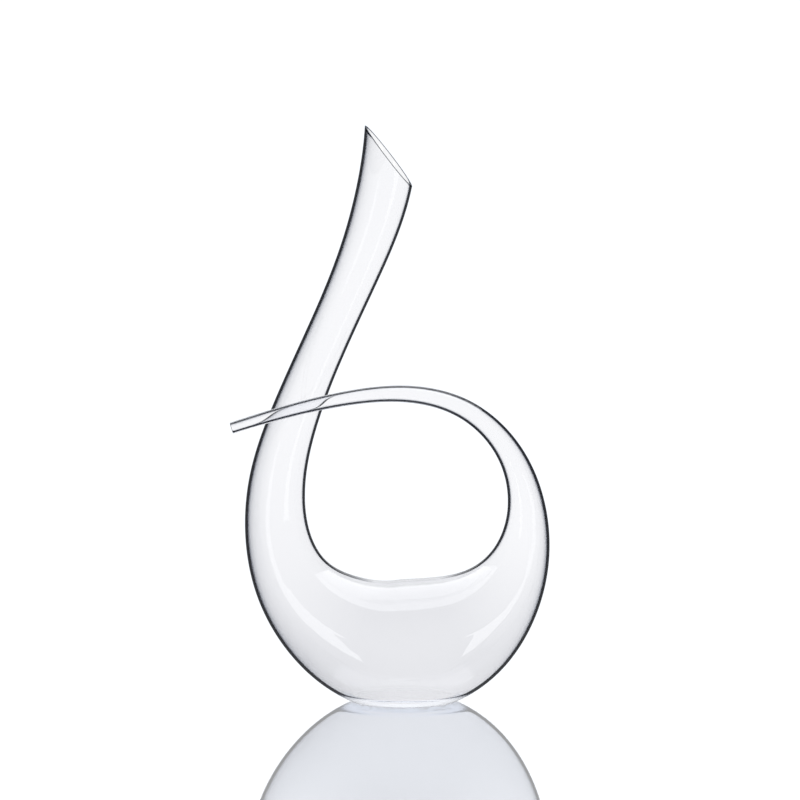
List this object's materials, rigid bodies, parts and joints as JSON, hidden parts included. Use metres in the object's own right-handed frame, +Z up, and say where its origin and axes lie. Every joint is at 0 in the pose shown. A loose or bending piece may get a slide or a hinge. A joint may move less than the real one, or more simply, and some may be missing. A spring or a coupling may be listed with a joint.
{
  "type": "wine decanter",
  "caption": "Clear glass decanter: a slant-cut neck runs into a crescent bowl whose drawn tail arches over a hand hole and crosses in front of the neck.",
  "frame": {"origin": "middle of the foot's flat face, on the table", "axes": "+Z up; +X towards the side where the tail rises from the bowl; -Y towards the user, the side on which the tail crosses the neck"},
  "size_m": [0.2086, 0.0876, 0.3799],
  "materials": {
    "glass": "clear, fire-polished"
  },
  "bodies": {
    "root": {"mouth_lip": "glass", "neck": "glass", "shoulder": "glass", "bowl": "glass", "foot_pad": "glass", "tail_root": "glass", "tail_arch": "glass", "tail_tip": "glass"}
  },
  "joints": []
}
